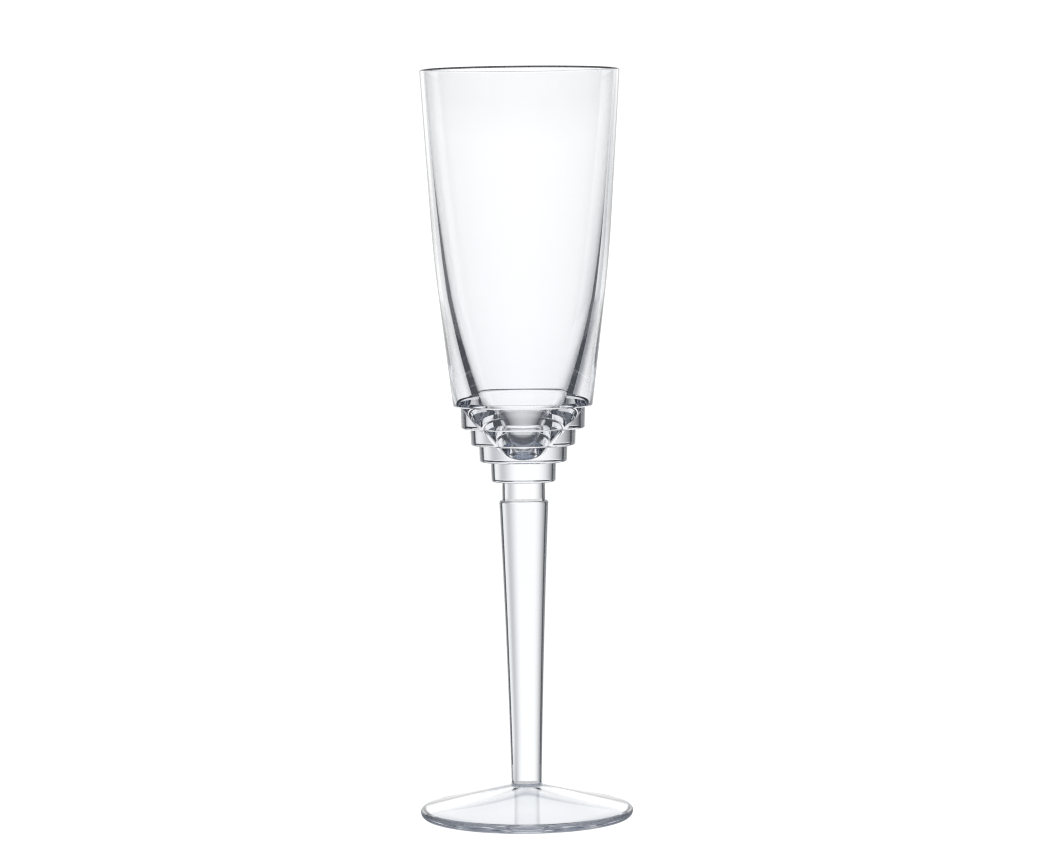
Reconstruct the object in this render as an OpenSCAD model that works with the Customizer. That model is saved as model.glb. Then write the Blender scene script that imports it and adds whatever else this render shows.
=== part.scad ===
// Crystal champagne flute with a stepped base under the bowl.
// Three pieces of glass, fused hot: bowl, stem and foot.
// Millimetres, +Z up, origin at the centre of the face that the foot stands on.

/* [Whole glass] */
// Height from the table to the rim
glass_h = 245; // [235:1:260]

/* [Bowl] */
// Outer radius at the rim
rim_r = 32.6; // [31:0.1:34]
// Thickness of the wall at the rim
rim_wall = 1.3; // [1:0.1:2]
// Height at which the wall starts to draw in faster
bend_z = 185; // [175:1:195]
// Outer radius at that height
bend_r = 28.8; // [28:0.1:29.5]
// Radius that blends the two slopes of the wall
bend_blend_r = 420; // [200:10:600]
// Height of the wall's lower edge, above the steps
wall_foot_z = 135.3; // [134:0.1:137]
// Outer radius at the wall's lower edge
wall_foot_r = 22.9; // [22:0.1:24]

/* [Inside of the bowl] */
// Height up to which the wall thickens quickly
cup_shoulder_z = 202; // [198:0.5:206]
// Inner radius that the curve leans towards at that height
cup_shoulder_r = 28.3; // [27.8:0.1:28.8]
// Height at which the taper starts
cup_chest_z = 170; // [167:0.5:173]
// Inner radius at that height
cup_chest_r = 22.9; // [22.4:0.1:23.4]
// Height of the middle of the taper
cup_waist_z = 153.7; // [152:0.1:156]
// Inner radius that the taper leans towards there
cup_waist_r = 19.9; // [19.4:0.1:20.4]
// Height at which the taper turns into the cone
cup_bend_z = 137; // [136:0.1:138]
// Inner radius at that height
cup_bend_r = 14.3; // [13.9:0.1:14.7]
// Height that the turn leans towards
cup_hip_z = 135; // [134:0.1:135.5]
// Inner radius that the turn leans towards
cup_hip_r = 13.6; // [13.2:0.1:13.8]
// Height of the lowest point inside
cup_tip_z = 117.9; // [117:0.1:119]
// Radius of the rounded tip
cup_tip_r = 5.5; // [4.5:0.1:6.5]
// Half angle of the cone just above the rounded tip
cup_tip_angle = 31.8; // [30:0.1:34]

/* [Steps] */
// Outer radii of the four steps at their tops
step_r = [20.45, 17.3, 14.5, 10.7];
// Heights of the undersides of the four steps
step_z = [128.1, 122.6, 117.15, 110.6];
// How much each step draws in from its top to its underside
step_draft = 0.2; // [0:0.05:0.3]
// Rounding of each step's lower edge
step_edge_r = 0.6; // [0.3:0.1:1]
// Radius of the neck under the steps
neck_r = 7.05; // [6.5:0.05:7.5]

/* [Stem] */
// Height of the stem's top face
stem_top_z = 104.5; // [103:0.1:106]
// Largest radius of the stem, just under its top edge
stem_top_r = 8.05; // [7.8:0.05:8.5]
// Rounding of the stem's top edge
stem_edge_r = 0.8; // [0.4:0.1:0.9]
// Radius of the stem where it meets the foot
stem_foot_r = 4.95; // [4.5:0.05:5.5]
// How far the side of the stem hollows in from a straight taper
stem_hollow = 0.27; // [0.1:0.01:0.5]

/* [Foot] */
// Radius of the foot
foot_r = 34.9; // [34.5:0.1:36]
// Height of the foot's widest line
foot_edge_z = 1.9; // [1.7:0.1:2.1]
// Rounding of the edge above the widest line
foot_edge_r = 1.3; // [1:0.1:1.5]
// Slope of the upper face in degrees
foot_slope = 14.2; // [13:0.1:15]
// Radius of the fillet between the stem and the foot
foot_fillet_r = 1.2; // [0.8:0.1:1.5]
// Inner radius of the ring that the foot stands on
rest_inner_r = 32; // [30:0.25:32.25]
// Slope of the hollow underside in degrees
hollow_slope = 14.2; // [10:0.1:14.5]
// Radius of the rounded top of the hollow
hollow_tip_r = 12; // [8:0.5:16]

/* [Hidden] */
$fn = 96;

// Points along a round edge, and along a long shallow arc
edge_steps = 8;
arc_steps = 16;

// Points of a circular arc about c, from angle a to angle b
function arc(c, r, a, b, n) = [for (i = [0 : n]) c + r * [cos(a + (b - a) * i / n), sin(a + (b - a) * i / n)]];

// Points of a quadratic curve from a to b that leaves and arrives along the lines to c
function curve(a, c, b, n) = [for (i = [0 : n]) let (t = i / n) (1 - t) * (1 - t) * a + 2 * t * (1 - t) * c + t * t * b];

// Slope angles of the wall above and below its bend, away from vertical
upper_lean = atan2(rim_r - bend_r, glass_h - bend_z);
lower_lean = atan2(bend_r - wall_foot_r, bend_z - wall_foot_z);
// Centre of the arc that blends them, and the length that it takes from each
blend_len = bend_blend_r * tan((lower_lean - upper_lean) / 2);
blend_start = [bend_r, bend_z] - blend_len * [sin(lower_lean), cos(lower_lean)];
blend_centre = blend_start + bend_blend_r * [-cos(lower_lean), sin(lower_lean)];

// Outside of the wall from its rounded lower edge up to the rounded rim
wall_edge_c = [wall_foot_r - step_edge_r, wall_foot_z + step_edge_r];
rim_c = [rim_r - rim_wall / 2, glass_h - rim_wall / 2];
wall_outside = concat(
    arc(wall_edge_c, step_edge_r, -90, -lower_lean, edge_steps),
    arc(blend_centre, bend_blend_r, -lower_lean, -upper_lean, arc_steps),
    arc(rim_c, rim_wall / 2, 0, 180, edge_steps)
);

// Inside of the cup from the rim down to the tip on the axis
cup_rim = [rim_r - rim_wall, rim_c[1]];
cup_chest = [cup_chest_r, cup_chest_z];
cup_bend = [cup_bend_r, cup_bend_z];
cup_tip_c = [0, cup_tip_z + cup_tip_r];
cup_cone_start = cup_tip_c + cup_tip_r * [cos(cup_tip_angle), -sin(cup_tip_angle)];
cup_inside = concat(
    curve(cup_rim, [cup_shoulder_r, cup_shoulder_z], cup_chest, arc_steps),
    curve(cup_chest, [cup_waist_r, cup_waist_z], cup_bend, arc_steps),
    curve(cup_bend, [cup_hip_r, cup_hip_z], cup_cone_start, arc_steps),
    arc(cup_tip_c, cup_tip_r, -cup_tip_angle, -90, edge_steps)
);

// Side of one step: its rounded lower edge, then its wall up to the face above
function step_side(r, low, high) = concat(
    arc([r - step_draft - step_edge_r, low + step_edge_r], step_edge_r, -90, 0, edge_steps),
    [[r, high]]
);

steps_outside = concat(
    step_side(step_r[3], step_z[3], step_z[2]),
    step_side(step_r[2], step_z[2], step_z[1]),
    step_side(step_r[1], step_z[1], step_z[0]),
    step_side(step_r[0], step_z[0], wall_foot_z)
);

module bowl() {
    color("aliceblue")
    rotate_extrude()
    polygon(concat(
        [[0, stem_top_z], [neck_r, stem_top_z], [neck_r, step_z[3]]],
        steps_outside,
        wall_outside,
        cup_inside
    ));
}

// Line where the stem ends and the foot begins
foot_tip_z = foot_edge_z + foot_edge_r / cos(foot_slope) + (foot_r - foot_edge_r) * tan(foot_slope);
fillet_c = [
    stem_foot_r + foot_fillet_r,
    foot_tip_z - (stem_foot_r + foot_fillet_r) * tan(foot_slope) + foot_fillet_r / cos(foot_slope)
];
stem_foot_z = fillet_c[1];

// Side of the stem, hollowed by an arc whose rise is stem_hollow
stem_side_low = [stem_foot_r, stem_foot_z];
stem_side_high = [stem_top_r, stem_top_z - stem_edge_r];
stem_side_mid = (stem_side_low + stem_side_high) / 2 - [2 * stem_hollow, 0];

module stem() {
    color("azure")
    rotate_extrude()
    polygon(concat(
        [[0, stem_foot_z]],
        curve(stem_side_low, stem_side_mid, stem_side_high, arc_steps),
        arc([stem_top_r - stem_edge_r, stem_top_z - stem_edge_r], stem_edge_r, 0, 90, edge_steps),
        [[0, stem_top_z]]
    ));
}

// The hollow underside is a cone with a rounded top
hollow_tip_c = [0, rest_inner_r * tan(hollow_slope) - hollow_tip_r / cos(hollow_slope)];

module foot() {
    color("ghostwhite")
    rotate_extrude()
    polygon(concat(
        arc(hollow_tip_c, hollow_tip_r, 90, 90 - hollow_slope, edge_steps),
        [[rest_inner_r, 0]],
        arc([foot_r - foot_edge_z, foot_edge_z], foot_edge_z, -90, 0, edge_steps),
        arc([foot_r - foot_edge_r, foot_edge_z], foot_edge_r, 0, 90 - foot_slope, edge_steps),
        arc(fillet_c, foot_fillet_r, 270 - foot_slope, 180, edge_steps),
        [[0, stem_foot_z]]
    ));
}

bowl();
stem();
foot();
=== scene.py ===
"""Crystal champagne flute with a stepped base under the bowl, on a white light table.

Three pieces of clear crystal are turned about Z on the frame's own sizes: bowl, stem and foot.
The studio is bright-field: it is white behind the glass and charcoal at the sides, which draws the dark
edges that clear glass needs to be seen. It rides on the camera, so every view has the same light. The
crystal's colour also holds painted dark shade where its outside is seen edge on and all along the rim.
"""

import math

import bmesh
import bpy
from mathutils import Matrix, Vector


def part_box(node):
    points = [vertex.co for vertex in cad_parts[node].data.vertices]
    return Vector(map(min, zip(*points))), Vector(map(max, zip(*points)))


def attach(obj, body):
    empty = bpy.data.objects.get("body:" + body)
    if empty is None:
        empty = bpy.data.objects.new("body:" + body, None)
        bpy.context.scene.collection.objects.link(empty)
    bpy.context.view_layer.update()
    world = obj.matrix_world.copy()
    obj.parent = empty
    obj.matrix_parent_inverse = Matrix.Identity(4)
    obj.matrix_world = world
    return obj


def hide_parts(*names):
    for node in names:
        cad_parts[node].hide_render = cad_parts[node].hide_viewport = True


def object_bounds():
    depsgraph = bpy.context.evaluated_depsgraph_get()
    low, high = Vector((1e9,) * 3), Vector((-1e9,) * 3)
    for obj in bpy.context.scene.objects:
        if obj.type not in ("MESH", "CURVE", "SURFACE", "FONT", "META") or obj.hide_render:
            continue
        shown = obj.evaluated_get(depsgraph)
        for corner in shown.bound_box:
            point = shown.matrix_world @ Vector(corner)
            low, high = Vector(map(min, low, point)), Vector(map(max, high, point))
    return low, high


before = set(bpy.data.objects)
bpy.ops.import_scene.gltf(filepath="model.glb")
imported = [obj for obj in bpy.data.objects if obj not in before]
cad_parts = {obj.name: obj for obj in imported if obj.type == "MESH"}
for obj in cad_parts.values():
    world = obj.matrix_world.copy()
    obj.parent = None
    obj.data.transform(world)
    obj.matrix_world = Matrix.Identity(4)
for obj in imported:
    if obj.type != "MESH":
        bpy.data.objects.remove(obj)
cad_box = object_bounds()

MM = 0.001

# ---------------------------------------------------------------- sizes in millimetres
# Outer sizes, taken from the frame
GLASS_H = cad_box[1][2] / MM
RIM_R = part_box("bowl")[1][0] / MM
STEM_TOP_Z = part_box("stem")[1][2] / MM
STEM_FOOT_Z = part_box("stem")[0][2] / MM
STEM_TOP_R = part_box("stem")[1][0] / MM
FOOT_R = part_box("foot")[1][0] / MM

# Bowl, outside. The sizes from here on are those of the CAD, with radii before heights in a pair
RIM_WALL = 1.3
BEND_Z = 185.0
BEND_R = 28.8
BEND_BLEND_R = 420.0
WALL_FOOT_Z = 135.3
WALL_FOOT_R = 22.9

# Bowl, inside
CUP_SHOULDER = (28.3, 202.0)
CUP_CHEST = (22.9, 170.0)
CUP_WAIST = (19.9, 153.7)
CUP_BEND = (14.3, 137.0)
CUP_HIP = (13.6, 135.0)
CUP_TIP_Z = 117.9
CUP_TIP_R = 5.5
CUP_TIP_ANGLE = 31.8

# Steps and neck
STEP_R = (20.45, 17.3, 14.5, 10.7)
STEP_Z = (128.1, 122.6, 117.15, 110.6)
STEP_DRAFT = 0.2
STEP_EDGE_R = 0.6
NECK_R = 7.05

# Stem
STEM_EDGE_R = 0.8
STEM_FOOT_R = 4.95
STEM_HOLLOW = 0.27

# Foot
FOOT_EDGE_Z = 1.9
FOOT_EDGE_R = 1.3
FOOT_SLOPE = 14.2
FOOT_FILLET_R = 1.2
REST_INNER_R = 32.0
HOLLOW_SLOPE = 14.2
HOLLOW_TIP_R = 12.0

# Resolution of the turned meshes: segments around the axis, and along small and long arcs of an outline
SEGMENTS = 256
EDGE_STEPS = 10
ARC_STEPS = 32
# Stretches of an outline that turn by more degrees than this meet in a crisp edge
SHARP_ANGLE = 20
# Two points closer than this are one, and a point closer than this to the axis is on it
SAME_POINT = 1e-6


# ---------------------------------------------------------------- outlines, as (radius, height)
def arc(centre, radius, start, end, steps):
    """Points of a circular arc about centre, from angle start to end in degrees."""
    turn = (end - start) / steps
    angles = [math.radians(start + turn * i) for i in range(steps + 1)]
    return [(centre[0] + radius * math.cos(a), centre[1] + radius * math.sin(a)) for a in angles]


def curve(a, c, b, steps):
    """Points of a quadratic curve from a to b that leaves and arrives along the lines to c."""
    points = []
    for i in range(steps + 1):
        t = i / steps
        u = 1 - t
        points.append(tuple(u * u * a[k] + 2 * t * u * c[k] + t * t * b[k] for k in (0, 1)))
    return points


def wall_outside():
    """Outside of the wall, from its rounded lower edge up and over the rounded rim."""
    upper = math.degrees(math.atan2(RIM_R - BEND_R, GLASS_H - BEND_Z))
    lower = math.degrees(math.atan2(BEND_R - WALL_FOOT_R, BEND_Z - WALL_FOOT_Z))
    lean = math.radians(lower)
    length = BEND_BLEND_R * math.tan(math.radians((lower - upper) / 2))
    start = (BEND_R - length * math.sin(lean), BEND_Z - length * math.cos(lean))
    centre = (start[0] - BEND_BLEND_R * math.cos(lean), start[1] + BEND_BLEND_R * math.sin(lean))
    edge = (WALL_FOOT_R - STEP_EDGE_R, WALL_FOOT_Z + STEP_EDGE_R)
    rim = (RIM_R - RIM_WALL / 2, GLASS_H - RIM_WALL / 2)
    return (
        arc(edge, STEP_EDGE_R, -90, -lower, EDGE_STEPS)
        + arc(centre, BEND_BLEND_R, -lower, -upper, ARC_STEPS)
        + arc(rim, RIM_WALL / 2, 0, 180, 2 * EDGE_STEPS)
    )


def cup_inside():
    """Inside of the cup, from under the rim down to the rounded tip on the axis."""
    rim = (RIM_R - RIM_WALL, GLASS_H - RIM_WALL / 2)
    tip = (0, CUP_TIP_Z + CUP_TIP_R)
    a = math.radians(CUP_TIP_ANGLE)
    cone = (tip[0] + CUP_TIP_R * math.cos(a), tip[1] - CUP_TIP_R * math.sin(a))
    return (
        curve(rim, CUP_SHOULDER, CUP_CHEST, ARC_STEPS)
        + curve(CUP_CHEST, CUP_WAIST, CUP_BEND, ARC_STEPS)
        + curve(CUP_BEND, CUP_HIP, cone, ARC_STEPS)
        + arc(tip, CUP_TIP_R, -CUP_TIP_ANGLE, -90, EDGE_STEPS)
    )


def steps_outside():
    """Outside of the four steps, from the neck up to the wall's lower edge."""
    ceilings = STEP_Z[2::-1] + (WALL_FOOT_Z,)
    points = []
    for radius, low, high in zip(STEP_R[::-1], STEP_Z[::-1], ceilings):
        edge = (radius - STEP_DRAFT - STEP_EDGE_R, low + STEP_EDGE_R)
        points += arc(edge, STEP_EDGE_R, -90, 0, EDGE_STEPS)
        points.append((radius, high))
    return points


def bowl_outline():
    """Up the outside from the foot of the neck, over the rim, and down the inside."""
    neck = [(0, STEM_TOP_Z), (NECK_R, STEM_TOP_Z), (NECK_R, STEP_Z[3])]
    return neck + steps_outside() + wall_outside() + cup_inside()


def stem_outline():
    """Up the slightly hollow side, over the rounded shoulder, and in to the neck."""
    low = (STEM_FOOT_R, STEM_FOOT_Z)
    high = (STEM_TOP_R, STEM_TOP_Z - STEM_EDGE_R)
    middle = ((low[0] + high[0]) / 2 - 2 * STEM_HOLLOW, (low[1] + high[1]) / 2)
    edge = (STEM_TOP_R - STEM_EDGE_R, STEM_TOP_Z - STEM_EDGE_R)
    return (
        [(0, STEM_FOOT_Z)]
        + curve(low, middle, high, ARC_STEPS)
        + arc(edge, STEM_EDGE_R, 0, 90, EDGE_STEPS)
        + [(NECK_R, STEM_TOP_Z), (0, STEM_TOP_Z)]
    )


def foot_outline():
    """The hollow underside is a cone along the upper face, with a rounded top."""
    slope = math.radians(HOLLOW_SLOPE)
    hollow = (0, REST_INNER_R * math.tan(slope) - HOLLOW_TIP_R / math.cos(slope))
    fillet = (STEM_FOOT_R + FOOT_FILLET_R, STEM_FOOT_Z)
    return (
        arc(hollow, HOLLOW_TIP_R, 90, 90 - HOLLOW_SLOPE, EDGE_STEPS)
        + [(REST_INNER_R, 0)]
        + arc((FOOT_R - FOOT_EDGE_Z, FOOT_EDGE_Z), FOOT_EDGE_Z, -90, 0, EDGE_STEPS)
        + arc((FOOT_R - FOOT_EDGE_R, FOOT_EDGE_Z), FOOT_EDGE_R, 0, 90 - FOOT_SLOPE, EDGE_STEPS)
        + arc(fillet, FOOT_FILLET_R, 270 - FOOT_SLOPE, 180, EDGE_STEPS)
        + [(0, STEM_FOOT_Z)]
    )


# ---------------------------------------------------------------- materials
# Colour of the crystal where it is clear, darker in the stem and foot than in the bowl; the painted dark edge
# shade where its outside turns away from the eye; and the turn, from 0 face on to 1 edge on, over which one
# changes into the other
CLEAR = {"bowl": (0.99, 0.993, 1.0), "stem": (0.95, 0.955, 0.965), "foot": (0.97, 0.975, 0.98)}
EDGE_SHADE = (0.01, 0.01, 0.011)
EDGE_SHADE_TURN = {"bowl": (0.8, 0.86), "stem": (0.8, 0.86), "foot": (0.84, 0.87)}
CRYSTAL_IOR = 1.545
ABSORPTION = (0.87, 0.88, 0.9)
ABSORPTION_DENSITY = 40.0
# Kinds of surface, as they are stored on the faces
KIND = "surface_kind"
# Outside faces get painted dark shade where seen edge on, and rim faces get it all round
INSIDE, OUTSIDE, RIM = 0.0, 0.5, 1.0


def principled(name):
    """A new material, and its shader."""
    material = bpy.data.materials.new(name)
    material.use_nodes = True
    return material, material.node_tree.nodes["Principled BSDF"]


def math_node(nodes, links, operation, a, b):
    """Output of a two-input maths node. Each input is a number or a socket."""
    node = nodes.new("ShaderNodeMath")
    node.operation = operation
    for socket, value in zip(node.inputs, (a, b)):
        if isinstance(value, float):
            socket.default_value = value
        else:
            links.new(value, socket)
    return node.outputs[0]


def crystal(node):
    """Clear lead crystal. Where light enters it, its base colour holds painted dark shade where its outside is
    seen edge on, and all along the rim.
    """
    material, shader = principled(node + "_crystal")
    nodes = material.node_tree.nodes
    links = material.node_tree.links
    grazing = nodes.new("ShaderNodeLayerWeight")
    kind = nodes.new("ShaderNodeAttribute")
    kind.attribute_name = KIND
    sides = nodes.new("ShaderNodeNewGeometry")
    outside = math_node(nodes, links, "GREATER_THAN", kind.outputs["Fac"], (INSIDE + OUTSIDE) / 2)
    rim = math_node(nodes, links, "GREATER_THAN", kind.outputs["Fac"], (OUTSIDE + RIM) / 2)
    entering = math_node(nodes, links, "SUBTRACT", 1.0, sides.outputs["Backfacing"])
    # Mask of the painted shade: outside faces seen edge on, and every rim face, where light enters
    painted_shade_mask = math_node(nodes, links, "MULTIPLY", grazing.outputs["Facing"], outside)
    painted_shade_mask = math_node(nodes, links, "MAXIMUM", painted_shade_mask, rim)
    painted_shade_mask = math_node(nodes, links, "MULTIPLY", painted_shade_mask, entering)
    # Painted dark edge shade: the base colour ramps from the clear colour to near black along the mask
    edge_shade_ramp = nodes.new("ShaderNodeValToRGB")
    for element, turn, colour in zip(edge_shade_ramp.color_ramp.elements, EDGE_SHADE_TURN[node], (CLEAR[node], EDGE_SHADE)):
        element.position = turn
        element.color = (*colour, 1)
    links.new(painted_shade_mask, edge_shade_ramp.inputs["Fac"])
    links.new(edge_shade_ramp.outputs["Color"], shader.inputs["Base Color"])
    shader.inputs["Roughness"].default_value = 0.0
    shader.inputs["IOR"].default_value = CRYSTAL_IOR
    shader.inputs["Transmission Weight"].default_value = 1.0
    absorption = nodes.new("ShaderNodeVolumeAbsorption")
    absorption.inputs["Color"].default_value = (*ABSORPTION, 1)
    absorption.inputs["Density"].default_value = ABSORPTION_DENSITY
    links.new(absorption.outputs["Volume"], nodes["Material Output"].inputs["Volume"])
    return material


def fused_seam():
    """Clear skin for the lower disc of a piece that ran hot into the piece below, so that light is bent at
    each join by one disc and not by two."""
    material, shader = principled("fused_seam")
    shader.inputs["Alpha"].default_value = 0.0
    return material


def glow(name, colour, strength):
    """A material that only gives off light."""
    material = bpy.data.materials.new(name)
    material.use_nodes = True
    nodes = material.node_tree.nodes
    nodes.clear()
    emission = nodes.new("ShaderNodeEmission")
    output = nodes.new("ShaderNodeOutputMaterial")
    emission.inputs["Color"].default_value = (*colour, 1)
    emission.inputs["Strength"].default_value = strength
    material.node_tree.links.new(emission.outputs[0], output.inputs["Surface"])
    return material


# ---------------------------------------------------------------- turned pieces
def outline_normals(points):
    """For each stretch of an outline, its normals at both ends. Stretches that meet smoothly share a normal,
    in which the longer one counts for more."""
    stretches = []
    for (r0, z0), (r1, z1) in zip(points, points[1:]):
        length = math.hypot(r1 - r0, z1 - z0)
        stretches.append((Vector(((z1 - z0) / length, (r0 - r1) / length)), length))
    ends = [[normal.copy(), normal.copy()] for normal, _ in stretches]
    for i in range(len(stretches) - 1):
        (a, a_length), (b, b_length) = stretches[i], stretches[i + 1]
        if a.dot(b) > math.cos(math.radians(SHARP_ANGLE)):
            shared = (a * a_length + b * b_length).normalized()
            ends[i][1] = shared
            ends[i + 1][0] = shared
    return ends


def around(radius, height, step):
    """A point of an outline, or a normal, turned about Z by a number of segments."""
    a = 2 * math.pi * step / SEGMENTS
    return (radius * math.cos(a), radius * math.sin(a), height)


def turn_piece(name, outline, seam, glass, seam_glass):
    """Turns an outline about Z. seam is the (height, radius) of its lowest disc, fused to the piece below."""
    points = []
    for point in outline:
        if not points or math.dist(point, points[-1]) > SAME_POINT:
            points.append(point)
    verts = []
    rings = []
    for radius, height in points:
        steps = SEGMENTS if radius > SAME_POINT else 1
        rings.append([len(verts) + step for step in range(steps)])
        verts += [around(radius * MM, height * MM, step) for step in range(steps)]
    faces = []
    normals = []
    kinds = []
    seam_faces = set()
    for stretch, (start_normal, end_normal) in enumerate(outline_normals(points)):
        low, high = rings[stretch], rings[stretch + 1]
        outer = max(points[stretch][0], points[stretch + 1][0])
        height = points[stretch][1]
        fused = seam is not None and height == points[stretch + 1][1] == seam[0] and outer <= seam[1]
        kind = INSIDE if start_normal[0] + end_normal[0] < 0 else OUTSIDE
        # Faces over the rounded rim are marked for the painted dark shade all round
        if kind == OUTSIDE and height > GLASS_H - RIM_WALL / 2 - SAME_POINT:
            kind = RIM
        kinds += [kind] * SEGMENTS
        for i in range(SEGMENTS):
            corners = [(low, i, start_normal), (low, i + 1, start_normal)]
            if len(low) == 1:
                corners = [(low, i + 0.5, start_normal)]
            if len(high) == 1:
                corners.append((high, i + 0.5, end_normal))
            else:
                corners += [(high, i + 1, end_normal), (high, i, end_normal)]
            if fused:
                seam_faces.add(len(faces))
            faces.append([ring[int(step) % len(ring)] for ring, step, _ in corners])
            normals += [around(normal[0], normal[1], step) for _, step, normal in corners]
    mesh = bpy.data.meshes.new(name)
    mesh.from_pydata(verts, [], faces)
    mesh.materials.append(glass)
    mesh.materials.append(seam_glass)
    for face in mesh.polygons:
        face.use_smooth = True
        face.material_index = 1 if face.index in seam_faces else 0
    mesh.normals_split_custom_set(normals)
    mesh.attributes.new(KIND, "FLOAT", "FACE").data.foreach_set("value", kinds)
    piece = bpy.data.objects.new(name, mesh)
    bpy.context.scene.collection.objects.link(piece)
    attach(piece, "root")
    return piece


def make_glass():
    seam_glass = fused_seam()
    painted_shade_mask = (
        ("bowl", bowl_outline(), (STEM_TOP_Z, NECK_R)),
        ("stem", stem_outline(), (STEM_FOOT_Z, STEM_FOOT_R)),
        ("foot", foot_outline(), None),
    )
    for node, outline, seam in painted_shade_mask:
        piece = turn_piece(node + "_glass", outline, seam, crystal(node), seam_glass)
        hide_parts(node)


# ---------------------------------------------------------------- camera
# Places in metres, lens and sensor in millimetres, roll in degrees
CAMERA_DISTANCE = 1.178
CAMERA_HEIGHT = 0.206
AIM_HEIGHT = 0.12675
AIM_RIGHT = 0.0016
LENS = 123.07
SENSOR_WIDTH = 36
ROLL = -0.59


def make_camera():
    data = bpy.data.cameras.new("camera")
    data.sensor_width = SENSOR_WIDTH
    data.lens = LENS
    camera = bpy.data.objects.new("camera", data)
    bpy.context.scene.collection.objects.link(camera)
    camera.location = (AIM_RIGHT, -CAMERA_DISTANCE, CAMERA_HEIGHT)
    aim = Vector((AIM_RIGHT, 0, AIM_HEIGHT)) - camera.location
    turn = aim.to_track_quat("-Z", "Y").to_matrix().to_4x4() @ Matrix.Rotation(math.radians(ROLL), 4, "Z")
    camera.rotation_euler = turn.to_euler()
    bpy.context.scene.camera = camera
    return camera


# ---------------------------------------------------------------- studio
# Globe of light about the glass
SWEEP_R = 2.0
SWEEP_COLUMNS = 144
SWEEP_ROWS = 72
SWEEP_UV = "angle"


def sweep_mesh(name, radius):
    """Globe about the glass. Its UV map holds the angle to the right from straight behind, -180 to 180
    degrees, and the elevation, -90 to 90 degrees, both as 0 to 1."""
    mesh_data = bmesh.new()
    layer = mesh_data.loops.layers.uv.new(SWEEP_UV)
    grid = []
    for row in range(SWEEP_ROWS + 1):
        elevation = math.pi * (row / SWEEP_ROWS - 0.5)
        ring = []
        for column in range(SWEEP_COLUMNS + 1):
            a = 2 * math.pi * (column / SWEEP_COLUMNS - 0.5)
            flat = radius * math.cos(elevation)
            place = (flat * math.sin(a), flat * math.cos(a), radius * math.sin(elevation) + cad_box[1][2] / 2)
            ring.append((mesh_data.verts.new(place), (column / SWEEP_COLUMNS, row / SWEEP_ROWS)))
        grid.append(ring)
    for low, high in zip(grid, grid[1:]):
        for i in range(SWEEP_COLUMNS):
            corners = (low[i], low[i + 1], high[i + 1], high[i])
            face = mesh_data.faces.new([corner[0] for corner in corners])
            for loop, corner in zip(face.loops, corners):
                loop[layer].uv = corner[1]
    mesh = bpy.data.meshes.new(name)
    mesh_data.to_mesh(mesh)
    mesh_data.free()
    return mesh


# Brightness of the globe. A row of tones holds pairs of an angle to the right from straight behind and the
# brightness there, all eased into the next. Level with the bowl there is a white wall with one faint grey gap.
# Level with the stem and below it the wall fades out softly on the left, and on the right it ends in a grey
# gap before a side light. SURROUND is what the rows share at both sides and behind the camera. STUDIO pairs
# elevations with rows. All angles are in degrees.
SURROUND = ((90, 0.1), (120, 0.2), (180, 0.3))
HIGH_TONES = ((-70, 0.1), (-56, 1.13), (22, 1.13), (37, 0.93), (48, 1.13), (56, 1.13), (70, 0.1))
STEM_TONES = ((-65, 0.1), (-17, 1.2), (8, 1.2), (31, 0.7), (46, 1.1), (50, 1.1), (68, 0.1))
LOW_TONES = ((-60, 0.15), (-20, 1.2), (15, 1.2), (40, 0.4), (50, 0.5), (68, 0.1))
DARK_TONES = ((-60, 0.1), (60, 0.1))
CEILING_TONES = ((-60, 0.1), (-30, 0.86), (30, 0.86), (60, 0.1))
STUDIO = (
    (-52, DARK_TONES), (-34, LOW_TONES), (-12, LOW_TONES), (-9.5, STEM_TONES),
    (1.5, STEM_TONES), (3.5, HIGH_TONES), (14, HIGH_TONES), (26, CEILING_TONES),
)
# Tint of the darkest tones. It fades out between these two tones
DARK_TINT = (0.9, 0.95, 1.06)
TINT_FULL = 0.1
TINT_NONE = 0.9
# A ramp holds colours up to 1, so the tones are divided by this, and the light is as much stronger
TONE_SCALE = 2.0


def tone_ramp(nodes, tones):
    """A colour ramp of brightness by angle, -180 to 180 degrees as 0 to 1. Dark tones are cool."""
    mirrored = tuple((-degrees, tone) for degrees, tone in SURROUND[::-1])
    ramp = nodes.new("ShaderNodeValToRGB")
    ramp.color_ramp.interpolation = "EASE"
    elements = ramp.color_ramp.elements
    elements.remove(elements[1])
    for i, (degrees, tone) in enumerate(mirrored + tones + SURROUND):
        place = degrees / 360 + 0.5
        element = elements[0] if i == 0 else elements.new(place)
        element.position = place
        cool = min(max((TINT_NONE - tone) / (TINT_NONE - TINT_FULL), 0), 1)
        element.color = (*(tone / TONE_SCALE * (1 + cool * (part - 1)) for part in DARK_TINT), 1)
    return ramp


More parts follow.
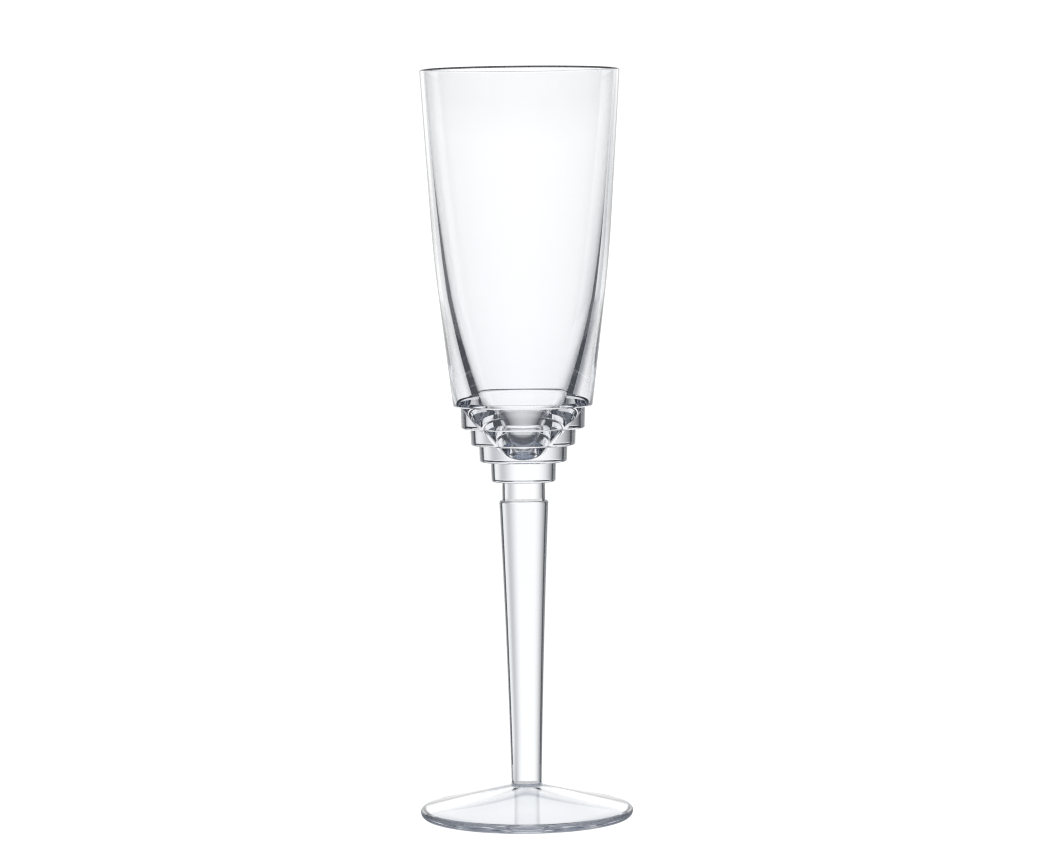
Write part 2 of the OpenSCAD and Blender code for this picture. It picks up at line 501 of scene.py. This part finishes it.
def sweep_material():
    """Light of the globe: the rows of STUDIO, blended from one elevation to the next."""
    material = bpy.data.materials.new("sweep_light")
    material.use_nodes = True
    nodes = material.node_tree.nodes
    links = material.node_tree.links
    nodes.clear()
    uv = nodes.new("ShaderNodeUVMap")
    uv.uv_map = SWEEP_UV
    separate = nodes.new("ShaderNodeSeparateXYZ")
    links.new(uv.outputs["UV"], separate.inputs[0])
    ramps = {}
    colour = None
    for (low, low_tones), (high, high_tones) in zip(STUDIO, STUDIO[1:]):
        for tones in (low_tones, high_tones):
            if tones not in ramps:
                ramps[tones] = tone_ramp(nodes, tones).outputs["Color"]
                links.new(separate.outputs["X"], ramps[tones].node.inputs["Fac"])
        if colour is None:
            colour = ramps[low_tones]
        if low_tones is high_tones:
            continue
        share = nodes.new("ShaderNodeMapRange")
        share.inputs["From Min"].default_value = low / 180 + 0.5
        share.inputs["From Max"].default_value = high / 180 + 0.5
        links.new(separate.outputs["Y"], share.inputs["Value"])
        mix = nodes.new("ShaderNodeMix")
        mix.data_type = "RGBA"
        links.new(share.outputs["Result"], mix.inputs["Factor"])
        links.new(colour, mix.inputs["A"])
        links.new(ramps[high_tones], mix.inputs["B"])
        colour = mix.outputs["Result"]
    emission = nodes.new("ShaderNodeEmission")
    emission.inputs["Strength"].default_value = TONE_SCALE
    output = nodes.new("ShaderNodeOutputMaterial")
    links.new(colour, emission.inputs["Color"])
    links.new(emission.outputs[0], output.inputs["Surface"])
    return material


# Black cards about the glass, which the camera doesn't see. Angles are in degrees to the right from straight
# behind, and other sizes in metres
CARD_R = 0.14
CARD_LOW = 0.0
CARD_HIGH = 0.35
CARD_ANGLES = {"left_card": (-125.0, -48.3), "right_card": (51.0, 125.0)}
CARD_STEPS = 24
CARD_TONE = 0.09

# White floor, which only the camera sees
FLOOR_R = 4.0
FLOOR_DROP = 0.0002
FLOOR_TONE = 1.05
# Lit pad under the foot, which only the glass sees: share of the pad's radius, and colour there
PAD_R = 0.06
PAD_DROP = 0.0001
PAD_TONES = (
    (0.0, (1.02, 1.03, 1.05)), (0.42, (0.95, 0.97, 1.0)), (0.58, (0.4, 0.43, 0.5)), (1.0, (0.2, 0.22, 0.26)),
)
DISC_STEPS = 96

WORLD_COLOUR = (0.9, 0.93, 1.0)
WORLD_STRENGTH = 0.1


def pad_material():
    """Light that falls off towards the rim of the pad."""
    material = glow("pad_light", (1, 1, 1), 1.0)
    nodes = material.node_tree.nodes
    links = material.node_tree.links
    place = nodes.new("ShaderNodeTexCoord")
    length = nodes.new("ShaderNodeVectorMath")
    length.operation = "LENGTH"
    share = nodes.new("ShaderNodeMapRange")
    share.inputs["From Max"].default_value = PAD_R
    ramp = nodes.new("ShaderNodeValToRGB")
    elements = ramp.color_ramp.elements
    elements.remove(elements[1])
    for i, (position, colour) in enumerate(PAD_TONES):
        element = elements[0] if i == 0 else elements.new(position)
        element.position = position
        element.color = (*colour, 1)
    links.new(place.outputs["Object"], length.inputs[0])
    links.new(length.outputs["Value"], share.inputs["Value"])
    links.new(share.outputs["Result"], ramp.inputs["Fac"])
    links.new(ramp.outputs["Color"], nodes["Emission"].inputs["Color"])
    return material


def disc(name, radius, height, material):
    angles = [2 * math.pi * i / DISC_STEPS for i in range(DISC_STEPS)]
    verts = [(radius * math.cos(a), radius * math.sin(a), height) for a in angles]
    mesh = bpy.data.meshes.new(name)
    mesh.from_pydata(verts, [], [range(DISC_STEPS)])
    mesh.materials.append(material)
    piece = bpy.data.objects.new(name, mesh)
    bpy.context.scene.collection.objects.link(piece)
    return piece


def card(name, start, end, material):
    """Upright curved card between two angles to the right from straight behind."""
    verts = []
    for step in range(CARD_STEPS + 1):
        a = math.radians(start + (end - start) * step / CARD_STEPS)
        verts += [(CARD_R * math.sin(a), CARD_R * math.cos(a), height) for height in (CARD_LOW, CARD_HIGH)]
    faces = [(2 * i, 2 * i + 2, 2 * i + 3, 2 * i + 1) for i in range(CARD_STEPS)]
    mesh = bpy.data.meshes.new(name)
    mesh.from_pydata(verts, [], faces)
    mesh.materials.append(material)
    piece = bpy.data.objects.new(name, mesh)
    bpy.context.scene.collection.objects.link(piece)
    piece.visible_camera = False
    return piece


def make_studio(camera):
    """The floor and pad stay with the glass. The globe and the cards ride on the camera."""
    scene = bpy.context.scene
    world = bpy.data.worlds.new("studio")
    scene.world = world
    world.use_nodes = True
    background = world.node_tree.nodes["Background"]
    background.inputs["Color"].default_value = (*WORLD_COLOUR, 1)
    background.inputs["Strength"].default_value = WORLD_STRENGTH

    table_z = cad_box[0][2]
    pad = disc("pad", PAD_R, table_z - PAD_DROP, pad_material())
    pad.visible_camera = False
    floor = disc("floor", FLOOR_R, table_z - FLOOR_DROP, glow("light_table", (1, 1, 1), FLOOR_TONE))
    floor.visible_transmission = False
    floor.visible_glossy = False
    floor.visible_diffuse = False

    mesh = sweep_mesh("sweep", SWEEP_R)
    mesh.materials.append(sweep_material())
    sweep = bpy.data.objects.new("sweep", mesh)
    scene.collection.objects.link(sweep)
    black = glow("black_card", DARK_TINT, CARD_TONE)
    cards = [card(name, start, end, black) for name, (start, end) in CARD_ANGLES.items()]
    bpy.context.view_layer.update()
    for piece in [sweep] + cards:
        piece.parent = camera
        piece.matrix_parent_inverse = camera.matrix_world.inverted()

    # Clear glass needs long light paths, or its insides go black
    scene.view_settings.view_transform = "Standard"
    scene.cycles.max_bounces = 32
    scene.cycles.transmission_bounces = 32
    scene.cycles.glossy_bounces = 16
    scene.cycles.transparent_max_bounces = 32
    scene.cycles.filter_width = 1.2


make_glass()
studio_camera = make_camera()
make_studio(studio_camera)
